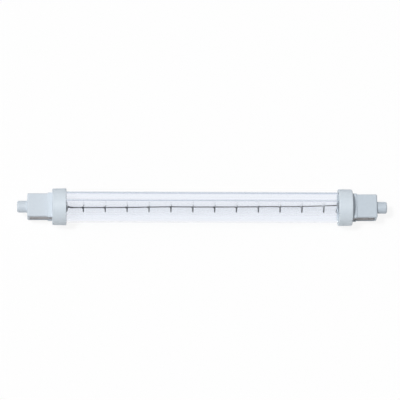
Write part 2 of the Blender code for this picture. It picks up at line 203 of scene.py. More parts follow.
broad_place = Vector((-0.3, -0.05, 1.6))
broad_data = bpy.data.lights.new("broad_lamp", "AREA")
broad_data.shape = "RECTANGLE"
broad_data.size = 1.6
broad_data.size_y = 1.2
broad_data.energy = BROAD_LAMP_WHITE * math.pi * math.pi * broad_place.length_squared * BROAD_LAMP_SLANT
broad = bpy.data.objects.new("broad_lamp", broad_data)
broad.location = broad_place
broad.rotation_mode = "QUATERNION"
broad.rotation_quaternion = (-broad_place).to_track_quat("-Z", "Y")
broad.visible_glossy = False
broad.visible_transmission = False
scene.collection.objects.link(broad)

key_tilt = math.radians(21.0)
key_data = bpy.data.lights.new("key_lamp", "SUN")
key_data.angle = math.radians(8.0)
key_data.energy = KEY_LAMP_WHITE * math.pi / math.cos(key_tilt)
key = bpy.data.objects.new("key_lamp", key_data)
key.rotation_euler = (0.0, -key_tilt, 0.0)
scene.collection.objects.link(key)

# %% [markdown]
# The table is far larger than the picture. What the camera, glass and metal see of it is mostly
# plain white, and the rest is lit, so the lamp keeps a faint soft shadow. A glowing sheet of
# painted shade lies behind the lamp, standing in for the lamp's soft shade on the table, and it gets
# darker away from the lamp. Only the glass shows it: the nearer part as the soft band inside the
# jacket's upper edge, and the far dark part, which only the steepest bends reach, as the crisper
# line along the lamp tube's upper edge.

# %% Table top and painted shade sheet
FLOOR_WHITE_SHARE = 0.88
# Place of the painted shade sheet, and its tones by reach from the lamp's axis in mm.
SHADE_SHEET_LIFT = 0.2 * MM
SHADE_NEAR = 13.0 * MM
SHADE_FAR = 60.0 * MM
SHADE_LAST_TONE = 40.0 * MM
SHADE_TONES = ((16.5, "#fafcff"), (18.0, "#d0d8e2"), (21.0, "#ccd4df"), (25.0, "#dfe6ef"),
              (30.0, "#c3ccd8"), (35.0, "#98a2b4"))


def flat_sheet(name, low, high, height):
    """A level sheet on the set, which is no part of the lamp."""
    bm = bmesh.new()
    bmesh.ops.create_grid(bm, x_segments=1, y_segments=1, size=0.5)
    low, high = Vector((*low, height)), Vector((*high, height))
    bmesh.ops.scale(bm, vec=(high.x - low.x, high.y - low.y, 1.0), verts=bm.verts)
    bmesh.ops.translate(bm, vec=(low + high) / 2, verts=bm.verts)
    mesh = bpy.data.meshes.new(name)
    bm.to_mesh(mesh)
    bm.free()
    sheet = bpy.data.objects.new(name, mesh)
    scene.collection.objects.link(sheet)
    return sheet


floor_height = cad_box[0][2]
floor = flat_sheet("table_top", (-4.0, -4.0), (4.0, 4.0), floor_height)
material, tree, output = new_material("white_laminate_table")
lit = add_node(tree, "ShaderNodeBsdfDiffuse", {"Color": linear("#f3f3f3")})
bare = add_node(tree, "ShaderNodeEmission", {"Color": (1, 1, 1, 1), "Strength": 1.0})
share = add_node(tree, "ShaderNodeMath", {0: mask_of_rays(tree, *SEEING_RAYS), 1: FLOOR_WHITE_SHARE},
                 operation="MULTIPLY")
top = add_node(tree, "ShaderNodeMixShader", {0: share.outputs[0], 1: lit.outputs[0], 2: bare.outputs[0]})
tree.links.new(top.outputs[0], output.inputs["Surface"])
floor.data.materials.append(material)

# A glowing sheet of painted shade, seen only through glass, standing in for the lamp's soft shade on the
# table.
shade_sheet = flat_sheet("painted_shade_sheet", (-0.1, SHADE_NEAR), (0.1, SHADE_FAR), floor_height + SHADE_SHEET_LIFT)
material, tree, output = new_material("painted_table_shade")
place = add_node(tree, "ShaderNodeTexCoord").outputs["Object"]
across = add_node(tree, "ShaderNodeSeparateXYZ", {0: place}).outputs["Y"]
depth = add_node(tree, "ShaderNodeMapRange", {"Value": across, "From Min": SHADE_NEAR,
                                              "From Max": SHADE_LAST_TONE})
tone = add_node(tree, "ShaderNodeValToRGB", {"Fac": depth.outputs[0]})
tone.color_ramp.elements[0].color = linear("#ffffff")
tone.color_ramp.elements[1].color = linear("#8d97a9")
for reach, code in SHADE_TONES:
    share = (reach * MM - SHADE_NEAR) / (SHADE_LAST_TONE - SHADE_NEAR)
    tone.color_ramp.elements.new(share).color = linear(code)
shade_glow = add_node(tree, "ShaderNodeEmission", {"Color": tone.outputs[0], "Strength": 1.0})
tree.links.new(shade_glow.outputs[0], output.inputs["Surface"])
shade_sheet.data.materials.append(material)
shade_sheet.visible_camera = False
shade_sheet.visible_diffuse = False
shade_sheet.visible_shadow = False
print("table top at", round(floor_height / MM, 2), "mm")

# %% [markdown]
# Fused quartz is the clearest of glasses: no colour of its own in a thin wall, a refractive
# index of 1.458, and fire-polished skins. A drawn tube keeps faint lines along its length,
# which only show as the slightest wobble of what lies behind. Lamps light what is inside it,
# so rays on their way to a lamp pass straight through.

# %% Fused quartz
QUARTZ_IOR = 1.458
DRAWING_WAVE_DEPTH = 0.0007 * MM


def fused_quartz(name, tint, line_width):
    """Drawn quartz tube. The drawing lines are long along X and as wide as line_width across it."""
    material, tree, output = new_material(name)
    place = add_node(tree, "ShaderNodeTexCoord").outputs["Object"]
    stretched = add_node(tree, "ShaderNodeMapping", {
        "Vector": place, "Scale": (0.01 / line_width, 1 / line_width, 1 / line_width)})
    lines = add_node(tree, "ShaderNodeTexNoise", {"Vector": stretched.outputs[0], "Scale": 1.0,
                                                  "Detail": 2.0})
    relief = add_node(tree, "ShaderNodeBump", {"Height": lines.outputs[0], "Strength": 0.08,
                                               "Distance": DRAWING_WAVE_DEPTH})
    glass = add_node(tree, "ShaderNodeBsdfPrincipled", {
        "Base Color": linear(tint), "Roughness": 0.0, "IOR": QUARTZ_IOR, "Transmission Weight": 1.0,
        "Normal": relief.outputs[0]})
    open_way = add_node(tree, "ShaderNodeBsdfTransparent", {"Color": linear("#f7f9fa")})
    lighting = mask_of_rays(tree, "Is Shadow Ray", "Is Diffuse Ray")
    surface = add_node(tree, "ShaderNodeMixShader", {0: lighting, 1: glass.outputs[0],
                                                     2: open_way.outputs[0]})
    tree.links.new(surface.outputs[0], output.inputs["Surface"])
    return material


jacket_quartz = fused_quartz("drawn_fused_quartz_jacket", "#f7f9fd", 0.8 * MM)
lamp_quartz = fused_quartz("drawn_fused_quartz_lamp", "#ffffff", 0.5 * MM)
print("glass", jacket_quartz.name, lamp_quartz.name)

# %% [markdown]
# Steatite is a white technical ceramic. It is pressed from powder in a steel die, turned and
# fired without a glaze, so it is matt with a faint sheen, finely grained, and a little mottled
# where the powder packed unevenly. The real grains are far finer than a pixel, so they are
# drawn coarser here. The blocks outside the collars carry painted shade, the right one a little
# more, and the seats inside the collars carry painted light, paler than the rest.

# %% Pressed steatite
GRAIN = 0.35 * MM
MOTTLE = 1.6 * MM
PRESS_WAVE = 5.0 * MM
GRAIN_DEPTH = 0.02 * MM
WAVE_DEPTH = 0.08 * MM
# Reach of the painted shade on the blocks, and of the painted light in the seats.
BLOCK_SHADE_FROM = 88.5 * MM
BLOCK_SHADE_TO = 91.5 * MM
RIGHT_SHADE_LATER = 1.5 * MM
SHADE_RAGGED = 3.0 * MM
CAP_REACH = 90.0 * MM
SEAT_EDGE = 10.05 * MM
SEAT_PAINTED_LIGHT = 9.85 * MM
SEAT_END = 88.0 * MM

steatite, tree, output = new_material("pressed_fired_steatite")
place = add_node(tree, "ShaderNodeTexCoord").outputs["Object"]
mottle = add_node(tree, "ShaderNodeTexNoise", {"Vector": place, "Scale": 1 / MOTTLE, "Detail": 4.0,
                                               "Roughness": 0.6})
grain = add_node(tree, "ShaderNodeTexNoise", {"Vector": place, "Scale": 1 / GRAIN, "Detail": 3.0})
wave = add_node(tree, "ShaderNodeTexNoise", {"Vector": place, "Scale": 1 / PRESS_WAVE, "Detail": 1.0})
clay = add_node(tree, "ShaderNodeMix", {0: mottle.outputs[0], 6: linear("#c9d3dc"), 7: linear("#d5dee5")},
                data_type="RGBA")
along = add_node(tree, "ShaderNodeSeparateXYZ", {0: place}).outputs["X"]
reach = add_node(tree, "ShaderNodeMath", {0: along}, operation="ABSOLUTE")
# Painted shade: the blocks outside the collars are darkened from a ragged edge outwards, the right one
# more.
ragged = add_node(tree, "ShaderNodeMath", {0: wave.outputs[0], 1: SHADE_RAGGED, 2: reach.outputs[0]},
                  operation="MULTIPLY_ADD")
greyer_end = add_node(tree, "ShaderNodeMapRange", {"Value": along, "From Min": -CAP_REACH,
                                                   "From Max": CAP_REACH})
later = add_node(tree, "ShaderNodeMath", {0: greyer_end.outputs[0], 1: -RIGHT_SHADE_LATER,
                                          2: ragged.outputs[0]}, operation="MULTIPLY_ADD")
block_shade = add_node(tree, "ShaderNodeMapRange", {"Value": later.outputs[0], "From Min": BLOCK_SHADE_FROM,
                                               "From Max": BLOCK_SHADE_TO}, interpolation_type="SMOOTHSTEP")
grey = add_node(tree, "ShaderNodeMix", {0: greyer_end.outputs[0], 6: linear("#f3f3f4"),
                                        7: linear("#e9ebed")}, data_type="RGBA")
clay = add_node(tree, "ShaderNodeMix", {0: block_shade.outputs[0], 6: clay.outputs[2], 7: grey.outputs[2]},
                data_type="RGBA", blend_type="MULTIPLY")
across = add_node(tree, "ShaderNodeVectorMath", {0: place, 1: (0.0, 1.0, 1.0)}, operation="MULTIPLY")
across = add_node(tree, "ShaderNodeVectorMath", {0: across.outputs[0]}, operation="LENGTH")
# Painted light: the seats inside the collars are painted paler than the rest of the steatite.
inside = add_node(tree, "ShaderNodeMapRange", {"Value": across.outputs["Value"], "From Min": SEAT_EDGE,
                                               "From Max": SEAT_PAINTED_LIGHT})
before = add_node(tree, "ShaderNodeMath", {0: reach.outputs[0], 1: SEAT_END}, operation="LESS_THAN")
inside = add_node(tree, "ShaderNodeMath", {0: inside.outputs[0], 1: before.outputs[0]},
                  operation="MULTIPLY")
clay = add_node(tree, "ShaderNodeMix", {0: inside.outputs[0], 6: clay.outputs[2], 7: linear("#f2f4f6")},
                data_type="RGBA")
specks = add_node(tree, "ShaderNodeMapRange", {"Value": grain.outputs[0], "From Min": 0.62,
                                               "From Max": 0.74, "To Max": 0.35})
clay = add_node(tree, "ShaderNodeMix", {0: specks.outputs[0], 6: clay.outputs[2], 7: linear("#b3bac0")},
                data_type="RGBA")
sheen = add_node(tree, "ShaderNodeMapRange", {"Value": mottle.outputs[0], "From Min": 0.3, "From Max": 0.7,
                                              "To Min": 0.46, "To Max": 0.62})
waves = add_node(tree, "ShaderNodeBump", {"Height": wave.outputs[0], "Strength": 0.25,
                                          "Distance": WAVE_DEPTH})
grains = add_node(tree, "ShaderNodeBump", {"Height": grain.outputs[0], "Strength": 0.5,
                                           "Distance": GRAIN_DEPTH, "Normal": waves.outputs[0]})
shader = add_node(tree, "ShaderNodeBsdfPrincipled", {
    "Base Color": clay.outputs[2], "Roughness": sheen.outputs[0], "IOR": 1.56, "Normal": grains.outputs[0]})
tree.links.new(shader.outputs[0], output.inputs["Surface"])
print("steatite grain", round(GRAIN / MM, 2), "mm, mottle", round(MOTTLE / MM, 2), "mm")

# %% [markdown]
# The cement is a grey mineral paste, troweled along the block and baked. It dries dull and
# gritty, with long streaks from the tool, pale grains and darker pores, and the left end is
# a little paler than the right. The finer cement that holds the jacket in the collars is
# the same paste without the coarse grit, and paler.

# %% Baked cements
GRIT = 0.45 * MM
FINE_GRIT = 0.25 * MM
STREAK_WIDTH = 0.6 * MM
STREAK_LENGTH = 9.0 * MM
LEFT_PALER_PER_METRE = 1.1


def baked_cement(name, dark, pale, grit):
    """Troweled along X. The grit's size sets the pores and the bumps."""
    material, tree, output = new_material(name)
    place = add_node(tree, "ShaderNodeTexCoord").outputs["Object"]
    along = add_node(tree, "ShaderNodeMapping", {
        "Vector": place, "Scale": (1 / STREAK_LENGTH, 1 / STREAK_WIDTH, 1 / STREAK_WIDTH)})
    streaks = add_node(tree, "ShaderNodeTexNoise", {"Vector": along.outputs[0], "Scale": 1.0,
                                                    "Detail": 4.0})
    grains = add_node(tree, "ShaderNodeTexVoronoi", {"Vector": place, "Scale": 1 / grit})
    dust = add_node(tree, "ShaderNodeTexNoise", {"Vector": place, "Scale": 0.5 / grit, "Detail": 5.0})
    both = add_node(tree, "ShaderNodeMath", {0: streaks.outputs[0], 1: dust.outputs[0]}, operation="ADD")
    # The left end is made a little paler than the right.
    reach = add_node(tree, "ShaderNodeSeparateXYZ", {0: place}).outputs["X"]
    left_paler = add_node(tree, "ShaderNodeMath", {0: reach, 1: -LEFT_PALER_PER_METRE, 2: both.outputs[0]},
                     operation="MULTIPLY_ADD")
    share = add_node(tree, "ShaderNodeMapRange", {"Value": left_paler.outputs[0], "From Min": 0.75,
                                                  "From Max": 1.25})
    paste = add_node(tree, "ShaderNodeMix", {0: share.outputs[0], 6: linear(dark), 7: linear(pale)},
                     data_type="RGBA")
    pores = add_node(tree, "ShaderNodeMapRange", {"Value": dust.outputs[0], "From Min": 0.36,
                                                  "From Max": 0.28})
    paste = add_node(tree, "ShaderNodeMix", {0: pores.outputs[0], 6: paste.outputs[2],
                                             7: linear("#5d5a56")}, data_type="RGBA")
    relief = add_node(tree, "ShaderNodeMath", {0: grains.outputs["Distance"], 1: -0.5,
                                               2: streaks.outputs[0]}, operation="MULTIPLY_ADD")
    bumps = add_node(tree, "ShaderNodeBump", {"Height": relief.outputs[0], "Strength": 0.8,
                                              "Distance": 0.2 * grit})
    shader = add_node(tree, "ShaderNodeBsdfPrincipled", {
        "Base Color": paste.outputs[2], "Roughness": 0.92, "IOR": 1.5, "Normal": bumps.outputs[0]})
    tree.links.new(shader.outputs[0], output.inputs["Surface"])
    return material


seal_cement = baked_cement("troweled_baked_cement", "#918f90", "#cac8ca", GRIT)
jacket_cement = baked_cement("fine_baked_cement", "#e0e3e5", "#f3f5f6", FINE_GRIT)
print("cements", seal_cement.name, jacket_cement.name)

# %% [markdown]
# Three metals work inside. The tungsten filament is drawn wire that firing has left dark and
# dull. The supports are drawn wire painted near white, far paler than tungsten, which is painted
# reflection, and painted dark on their -Y side, which is painted shade; the right end support is
# an even grey without either. Leads and foils are molybdenum, grey and satin. Drawing leaves fine
# lines, drawn coarser here than the real ones so that a close view shows them, and heat leaves
# blotches of tone. The contacts are pressed from nickel and polished by their springs.

# %% Drawn and pressed metals
DRAWING_LINE = 0.05 * MM
PRESSING_LINE = 0.12 * MM
HEAT_BLOTCH = 2.5 * MM
# Painted shade on a wire's -Y side: where it starts and where it is full.
WIRE_SHADE_FROM = 0.9 * MM
WIRE_SHADE_TO = -0.3 * MM


def worked_metal(name, deep, bright, dull, glossy, line, shaded_side=None):
    """Tone and roughness drift over blotches, with fine lines. One side may be given painted shade."""
    material, tree, output = new_material(name)
    place = add_node(tree, "ShaderNodeTexCoord").outputs["Object"]
    blotches = add_node(tree, "ShaderNodeTexNoise", {"Vector": place, "Scale": 1 / HEAT_BLOTCH,
                                                     "Detail": 3.0})
    lines = add_node(tree, "ShaderNodeTexNoise", {"Vector": place, "Scale": 1 / line, "Detail": 2.0})
    tone = add_node(tree, "ShaderNodeMix", {0: blotches.outputs[0], 6: linear(deep), 7: linear(bright)},
                    data_type="RGBA")
    # Painted shade: the given colour darkens the wire towards its -Y side.
    if shaded_side:
        side = add_node(tree, "ShaderNodeSeparateXYZ", {0: place}).outputs["Y"]
        share = add_node(tree, "ShaderNodeMapRange", {
            "Value": side, "From Min": WIRE_SHADE_FROM, "From Max": WIRE_SHADE_TO},
            interpolation_type="SMOOTHSTEP")
        tone = add_node(tree, "ShaderNodeMix", {0: share.outputs[0], 6: tone.outputs[2],
                                                7: linear(shaded_side)}, data_type="RGBA")
    gloss = add_node(tree, "ShaderNodeMapRange", {"Value": blotches.outputs[0], "From Min": 0.3,
                                                  "From Max": 0.7, "To Min": glossy, "To Max": dull})
    relief = add_node(tree, "ShaderNodeBump", {"Height": lines.outputs[0], "Strength": 0.3,
                                               "Distance": 0.1 * line})
    shader = add_node(tree, "ShaderNodeBsdfPrincipled", {
        "Base Color": tone.outputs[2], "Metallic": 1.0, "Roughness": gloss.outputs[0],
        "Normal": relief.outputs[0]})
    tree.links.new(shader.outputs[0], output.inputs["Surface"])
    return material


fired_tungsten = worked_metal("drawn_fired_tungsten", "#26272c", "#3e3f46", 0.55, 0.4, DRAWING_LINE)
bright_wire = worked_metal("drawn_bright_tungsten", "#595c63", "#7d8087", 0.42, 0.28, DRAWING_LINE)
# Painted reflection and painted shade: near white, far paler than tungsten, and dark on the -Y side.
support_wire = worked_metal("drawn_tungsten_painted_reflection_and_shade", "#e0e2e7", "#eff1f4", 0.42, 0.28,
                            DRAWING_LINE, "#1f2026")
molybdenum = worked_metal("drawn_molybdenum", "#7c7d82", "#9a9ba0", 0.45, 0.32, DRAWING_LINE)
nickel = worked_metal("pressed_nickel", "#a8a49b", "#c6c2b8", 0.38, 0.22, PRESSING_LINE)
print("metals", fired_tungsten.name, bright_wire.name, support_wire.name, molybdenum.name, nickel.name)

# %% [markdown]
# Every piece is made as a bmesh first. One helper turns a bmesh into an object. Another makes
# that a finished piece: it gets its material, smooth faces that keep their sharp edges, the
# lamp's one body and the imported nodes that it stands for.

# %% From mesh to piece
MERGE = 0.001 * MM
SHARP_ANGLE = math.radians(32.0)


def loose_object(bm, name):
    """An object made from a bmesh, which is used up."""
    mesh = bpy.data.meshes.new(name)
    bm.to_mesh(mesh)
    bm.free()
    obj = bpy.data.objects.new(name, mesh)
    scene.collection.objects.link(obj)
    return obj


def finished(bm, name, material, slot, *nodes):
    """A piece that stands for CAD nodes and rides on the lamp's one body. The slot is not used."""
    piece = loose_object(bm, name)
    piece.data.materials.append(material)
    piece.data.shade_smooth()
    piece.data.set_sharp_from_angle(angle=SHARP_ANGLE)
    weighted = piece.modifiers.new("Even shading", "WEIGHTED_NORMAL")
    weighted.keep_sharp = True
    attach(piece, body)
    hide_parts(*nodes)
    print(name, "has", len(piece.data.polygons), "faces")
    return piece


print("edges sharper than", round(math.degrees(SHARP_ANGLE)), "degrees stay sharp")

# %% [markdown]
# Most pieces are round about the lamp's axis, as if turned on a lathe. So a profile of a few
# points is spun about the axis, and its sharp edges are rounded off afterwards.

# %% Turned and rounded shapes
TURN_STEPS = 160
ROUNDED_ANGLE = math.radians(50.0)


def turned(profile, closed=False, steps=TURN_STEPS):
    """A skin turned about the lamp's axis from (reach along X, radius) points."""
    bm = bmesh.new()
    verts = [bm.verts.new((reach, 0.0, radius)) for reach, radius in profile]
    edges = [bm.edges.new(pair) for pair in zip(verts, verts[1:])]
    if closed:
        edges.append(bm.edges.new((verts[-1], verts[0])))
    bmesh.ops.spin(bm, geom=verts + edges, cent=(0, 0, 0), axis=(1, 0, 0), angle=math.tau,
                   steps=steps, use_merge=True)
    bmesh.ops.remove_doubles(bm, verts=bm.verts, dist=MERGE)
    bmesh.ops.recalc_face_normals(bm, faces=bm.faces)
    return bm


def round_off(bm, radius, segments=5, where=None):
    """Rounds the sharp edges whose two ends pass the where test, or all of them."""
    edges = [edge for edge in bm.edges if edge.calc_face_angle(0.0) > ROUNDED_ANGLE
             and (where is None or all(where(vert.co) for vert in edge.verts))]
    bmesh.ops.bevel(bm, geom=edges, offset=radius, offset_type="OFFSET", segments=segments,
                    profile=0.5, affect="EDGES", clamp_overlap=True, material=-1)
    return bm


print("a turned skin has", TURN_STEPS, "steps")

# %% [markdown]
# The outer jacket is a length of drawn quartz tube with fire-polished rims, open at both ends
# and closed by the caps. A turned rectangle with rounded corners is exactly that. The thin wall
# of 0.8 mm puts the lines that the round glass draws along its edges where the photograph has
# them.

# %% Outer jacket
jacket_low, jacket_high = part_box("jacket_tube")
jacket_radius = 9.2 * MM
jacket_wall = 0.8 * MM
jacket_bore = jacket_radius - jacket_wall
rim = 0.3 * MM
bm = turned([(jacket_low.x, jacket_radius), (jacket_high.x, jacket_radius),
             (jacket_high.x, jacket_bore), (jacket_low.x, jacket_bore)], closed=True, steps=256)
finished(round_off(bm, rim), "fine_jacket_tube", jacket_quartz, "jacket_quartz", "jacket_tube")
print("jacket from", round(jacket_low.x / MM, 2), "to", round(jacket_high.x / MM, 2), "mm")

# %% [markdown]
# The lamp tube starts as a round tube. Its ends are heated and pinched flat round the seal
# foils, which leaves a flat press and a domed end to the bore. Here a rod is cut across into
# stations and squeezed in the same way. The bore is turned, faces inwards and goes inside it.
# The tube's wall of 0.95 mm was found by its lines in the picture too.

# %% Lamp tube: the pinched rod
press_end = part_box("lamp_tube")[1].x
tube_radius = 4.75 * MM
press_length = 12.5 * MM
pinch_length = 4.5 * MM
press_start = press_end - press_length
round_end = press_start - pinch_length
press_half_width = 5.0 * MM
press_half_thickness = 1.2 * MM
press_edge = 0.25 * MM
ROUND_POWER = 2.0
FLAT_POWER = 6.0
PINCH_STATIONS = 16


def soft_step(share):
    """From 0 to 1 as the share does, with a soft start and end, and flat outside them."""
    share = min(max(share, 0.0), 1.0)
    return share * share * (3 - 2 * share)


def slice_through(bm, place, normal):
    """Cuts the faces at a plane, and keeps what is on both sides of it."""
    bmesh.ops.bisect_plane(bm, geom=bm.verts[:] + bm.edges[:] + bm.faces[:], dist=MERGE / 10,
                           plane_co=place, plane_no=normal)


def pinch(bm):
    """Squeezes the ends of a rod along X flat, as far as each point's reach asks.

    Each section is a superellipse: round at power 2, and nearly a rectangle at power 6."""
    for vert in bm.verts:
        share = soft_step((abs(vert.co.x) - round_end) / (press_start - round_end))
        across = Vector((vert.co.y, vert.co.z))
        if across.length < MERGE:
            continue
        across.normalize()
        power = ROUND_POWER + (FLAT_POWER - ROUND_POWER) * share
        half_width = tube_radius + (press_half_width - tube_radius) * share
        half_thickness = tube_radius + (press_half_thickness - tube_radius) * share
        vert.co.y = math.copysign(abs(across.x) ** (2 / power), across.x) * half_width
        vert.co.z = math.copysign(abs(across.y) ** (2 / power), across.y) * half_thickness


bm = bmesh.new()
bmesh.ops.create_cone(bm, cap_ends=True, segments=144, radius1=tube_radius, radius2=tube_radius,
                      depth=2 * press_end)
bmesh.ops.rotate(bm, cent=(0, 0, 0), matrix=Matrix.Rotation(math.pi / 2, 3, "Y"), verts=bm.verts)
for side in (-1, 1):
    for step in range(PINCH_STATIONS + 1):
        reach = round_end + (press_start - round_end) * step / PINCH_STATIONS
        slice_through(bm, (side * reach, 0, 0), (1, 0, 0))
pinch(bm)
round_off(bm, press_edge, 3)
print("press from", round(press_start / MM, 2), "to", round(press_end / MM, 2), "mm")

# %% Lamp tube: the bore
tube_wall = 0.95 * MM
tube_bore = tube_radius - tube_wall
dome_start = round_end - 0.9 * MM
dome_depth = 2.2 * MM
DOME_STEPS = 12


def added(bm, other):
    """Puts another bmesh into this one and uses it up."""
    mesh = bpy.data.meshes.new("other")
    other.to_mesh(mesh)
    other.free()
    bm.from_mesh(mesh)
    bpy.data.meshes.remove(mesh)
    return bm


profile = [(-dome_start - dome_depth, 0.0)]
for step in range(1, DOME_STEPS + 1):
    angle = math.radians(90 * step / DOME_STEPS)
    profile.append((-dome_start - dome_depth * math.cos(angle), tube_bore * math.sin(angle)))
profile += [(-reach, radius) for reach, radius in reversed(profile)]
bore = turned(profile, steps=144)
bmesh.ops.reverse_faces(bore, faces=bore.faces)
lamp_tube = finished(added(bm, bore), "fine_lamp_tube", lamp_quartz, "lamp_quartz", "lamp_tube")
lamp_tube.visible_shadow = False
lamp_tube.visible_diffuse = False
print("bore", round(2 * tube_bore / MM, 2), "mm across")

# %% [markdown]
# The filament is tungsten wire wound into a long coil, tighter at its ends. Heat has drawn it
# out slimmer away from its left end and left it a little off the middle of the tube, more so
# towards the right, and it climbs to its lead at the left. A small circle spun about the axis
# while it moves along gives one turn, and an array repeats it. Two smooth curves then set the
# coil's width and shift it sideways.

# %% Filament: sizes and drift
coil_end = 80.0 * MM
coil_radius = 0.38 * MM
coil_wire_radius = 0.12 * MM
DRAWN_OUT = 0.23
tight_length = 2.6 * MM
open_pitch = 0.36 * MM
tight_pitch = 0.27 * MM
CLIMB_FROM = 77.5 * MM
LEFT_CLIMB = 0.4 * MM
DRIFTS = (-0.00045, -0.00042, -0.00022, 0.00020, 0.00014, 0.00026, 0.00048, 0.00064, 0.0013)
print("the filament hangs", round(min(DRIFTS) / MM, 2), "to", round(max(DRIFTS) / MM, 2), "mm off")


def filament_drift(x):
    """How far the filament lies off the lamp's axis at x: a smooth curve through the drifts."""
    spans = len(DRIFTS) - 1
    along = min(max((x + coil_end) / (2 * coil_end), 0.0), 1.0) * spans
    span = min(int(along), spans - 1)
    share = along - span
    before, start, end, after = [DRIFTS[min(max(span + step, 0), spans)] for step in (-1, 0, 1, 2)]
    start_slope, end_slope = (end - before) / 2, (after - start) / 2
    rise = end - start
    climbed = LEFT_CLIMB * soft_step((-x - CLIMB_FROM) / (coil_end - CLIMB_FROM))
    return (start + start_slope * share + (3 * rise - 2 * start_slope - end_slope) * share ** 2
            + (start_slope + end_slope - 2 * rise) * share ** 3 + climbed)


def coil_share(x):
    """The coil's width at x as a share of its width at its left end. The rest is drawn out slimmer."""
    return 1 - DRAWN_OUT * soft_step((coil_end + x - tight_length) / tight_length)


print("the coil is", round(2 * coil_radius * coil_share(0.0) / MM, 2), "mm across in the middle")

# %% Filament: winding
TURN_STATIONS = 12
WIRE_SIDES = 6


def settled(obj, helpers=()):
    """The shape that an object's modifiers make, as a bmesh. The object and its helpers go away."""
    graph = bpy.context.evaluated_depsgraph_get()
    result = bmesh.new()
    result.from_mesh(obj.evaluated_get(graph).data)
    for used in (obj, *helpers):
        bpy.data.objects.remove(used, do_unlink=True)
    return result


def wound(start, length, pitch):
    """A winding along X: one turn is spun, an array repeats it, and the turns' ends are merged."""
    turns = round(length / pitch)
    bm = bmesh.new()
    ring = bmesh.ops.create_circle(bm, cap_ends=False, radius=coil_wire_radius,
                                   segments=WIRE_SIDES)["verts"]
    bmesh.ops.rotate(bm, cent=(0, 0, 0), matrix=Matrix.Rotation(math.pi / 2, 3, "X"), verts=ring)
    bmesh.ops.translate(bm, vec=(start, 0.0, coil_radius), verts=ring)
    bmesh.ops.spin(bm, geom=bm.verts[:] + bm.edges[:], cent=(0, 0, 0), axis=(1, 0, 0), angle=math.tau,
                   dvec=(length / turns / TURN_STATIONS, 0, 0), steps=TURN_STATIONS)
    turn = loose_object(bm, "one_turn")
    array = turn.modifiers.new("Turns", "ARRAY")
    array.count = turns
    array.use_relative_offset = False
    array.use_constant_offset = True
    array.constant_offset_displace = (length / turns, 0, 0)
    array.use_merge_vertices = True
    array.merge_threshold = MERGE
    return settled(turn)


bm = wound(-coil_end, tight_length, tight_pitch)
added(bm, wound(tight_length - coil_end, 2 * (coil_end - tight_length), open_pitch))
added(bm, wound(coil_end - tight_length, tight_length, tight_pitch))
bmesh.ops.remove_doubles(bm, verts=bm.verts, dist=MERGE)
bmesh.ops.holes_fill(bm, edges=[edge for edge in bm.edges if edge.is_boundary], sides=0)
bmesh.ops.recalc_face_normals(bm, faces=bm.faces)
for vert in bm.verts:
    vert.co.y = vert.co.y * coil_share(vert.co.x) + filament_drift(vert.co.x)
    vert.co.z *= coil_share(vert.co.x)
finished(bm, "fine_filament", fired_tungsten, "filament_tungsten", "filament")

# %% [markdown]
# Each support is one wire. Its tail is wound on the filament, it runs out to the bore, and it
# ends in a ring that rests on the glass and leans a little. The end supports make two turns,
# and the right one is twisted too, so from above it is a slim figure of eight. A helper draws a
# wire along points, as a die would, and a second one works out a support's points.

# %% Drawn wire
SUPPORT_SIDES = 8


def drawn_wire(points, radius, sides=SUPPORT_SIDES):
    """A round wire along the points: its end circle is extruded and turned from each to the next."""
    before = [points[0]] + points[:-1]
    after = points[1:] + [points[-1]]
    headings = [(b - a).normalized() for a, b in zip(before, after)]
    bm = bmesh.new()
    ring = bmesh.ops.create_circle(bm, cap_ends=True, radius=radius, segments=sides)["verts"]
    bmesh.ops.rotate(bm, cent=(0, 0, 0), matrix=headings[0].to_track_quat("Z", "Y").to_matrix(), verts=ring)
    bmesh.ops.translate(bm, vec=points[0], verts=ring)
    edges = list(bm.edges)
    for number in range(1, len(points)):
        grown = bmesh.ops.extrude_edge_only(bm, edges=edges)["geom"]
        ring = [item for item in grown if isinstance(item, bmesh.types.BMVert)]
        edges = [item for item in grown if isinstance(item, bmesh.types.BMEdge)
                 and all(vert in ring for vert in item.verts)]
        turn = headings[number - 1].rotation_difference(headings[number]).to_matrix()
        bmesh.ops.rotate(bm, cent=points[number - 1], matrix=turn, verts=ring)
        bmesh.ops.translate(bm, vec=points[number] - points[number - 1], verts=ring)
    bmesh.ops.edgeloop_fill(bm, edges=edges)
    bmesh.ops.recalc_face_normals(bm, faces=bm.faces)
    return bm


print("a support's wire has", SUPPORT_SIDES, "sides")

# %% Path of a support
support_ring = 3.01 * MM
TAIL_TURNS = 1.25
RUN_TURN = 0.35
TAIL_GAP = 0.4 * MM
TAIL_LENGTH = 0.5 * MM
TAIL_STEPS = 18
RUN_STEPS = 8
RING_STEPS = 40


